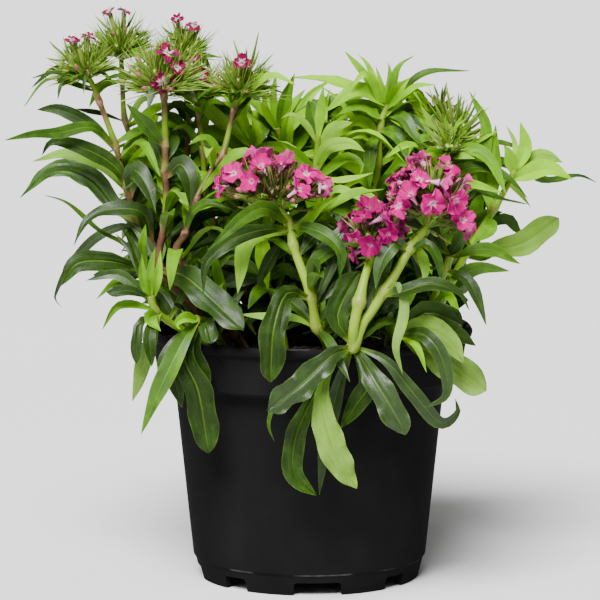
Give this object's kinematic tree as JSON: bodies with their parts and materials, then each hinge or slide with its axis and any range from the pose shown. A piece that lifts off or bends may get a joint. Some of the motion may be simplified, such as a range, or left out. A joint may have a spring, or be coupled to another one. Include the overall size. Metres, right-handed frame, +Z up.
{
  "type": "potted sweet william",
  "caption": "Clump of sweet william with leafy upright stems and domed pink flower heads, growing in a round black plastic nursery pot filled with peat.",
  "frame": {"origin": "centre of the pot's foot on the ground; the clump's box is centred on the pot's axis within a few millimetres", "axes": "+Z up along the pot's axis, +X to the right and -Y towards the viewer in the front view"},
  "size_m": [0.3435, 0.2659, 0.3323],
  "materials": {
    "pot": "matte, fine grain",
    "soil": "rough, crumbly peat",
    "leafy_stems": "satin leaf skin",
    "green_heads": "satin bracts and buds",
    "pink_petals": "soft matte petals",
    "magenta_petals": "soft matte petals",
    "crimson_petals": "soft matte petals"
  },
  "bodies": {
    "root": {"back_shoot_left": "leafy_stems", "back_shoot_low": "leafy_stems", "back_shoot_right": "leafy_stems", "back_stem_crimson": "leafy_stems", "back_stem_left": "leafy_stems", "back_stem_pink": "leafy_stems", "back_stem_right": "leafy_stems", "head_back_crimson": "green_heads", "head_back_pink": "green_heads", "head_dark": "green_heads", "head_far_left": "green_heads", "head_fifth_left": "green_heads", "head_fourth_left": "green_heads", "head_green": "green_heads", "head_low_right": "green_heads", "head_middle": "green_heads", "head_right": "green_heads", "head_second_left": "green_heads", "head_sixth_left": "green_heads", "head_third_left": "green_heads", "petals_back_crimson": "crimson_petals", "petals_back_pink": "pink_petals", "petals_far_left": "crimson_petals", "petals_fifth_left": "crimson_petals", "petals_fourth_left": "crimson_petals", "petals_low_right": "magenta_petals", "petals_middle": "pink_petals", "petals_right": "pink_petals", "petals_second_left": "crimson_petals", "petals_sixth_left": "crimson_petals", "petals_third_left": "crimson_petals", "pot": "pot", "shoot_centre": "leafy_stems", "shoot_far_left": "leafy_stems", "shoot_far_right": "leafy_stems", "shoot_left_low": "leafy_stems", "shoot_left_mid": "leafy_stems", "shoot_middle": "leafy_stems", "shoot_middle_back": "leafy_stems", "shoot_middle_low": "leafy_stems", "shoot_right": "leafy_stems", "shoot_right_low": "leafy_stems", "shoot_top_right": "leafy_stems", "soil": "soil", "stem_dark_head": "leafy_stems", "stem_far_left": "leafy_stems", "stem_fifth_left": "leafy_stems", "stem_fourth_left": "leafy_stems", "stem_green_head": "leafy_stems", "stem_middle_bloom": "leafy_stems", "stem_right_bloom": "leafy_stems", "stem_second_left": "leafy_stems", "stem_sixth_left": "leafy_stems", "stem_third_left": "leafy_stems", "stem_top_whorl": "leafy_stems"}
  },
  "joints": []
}
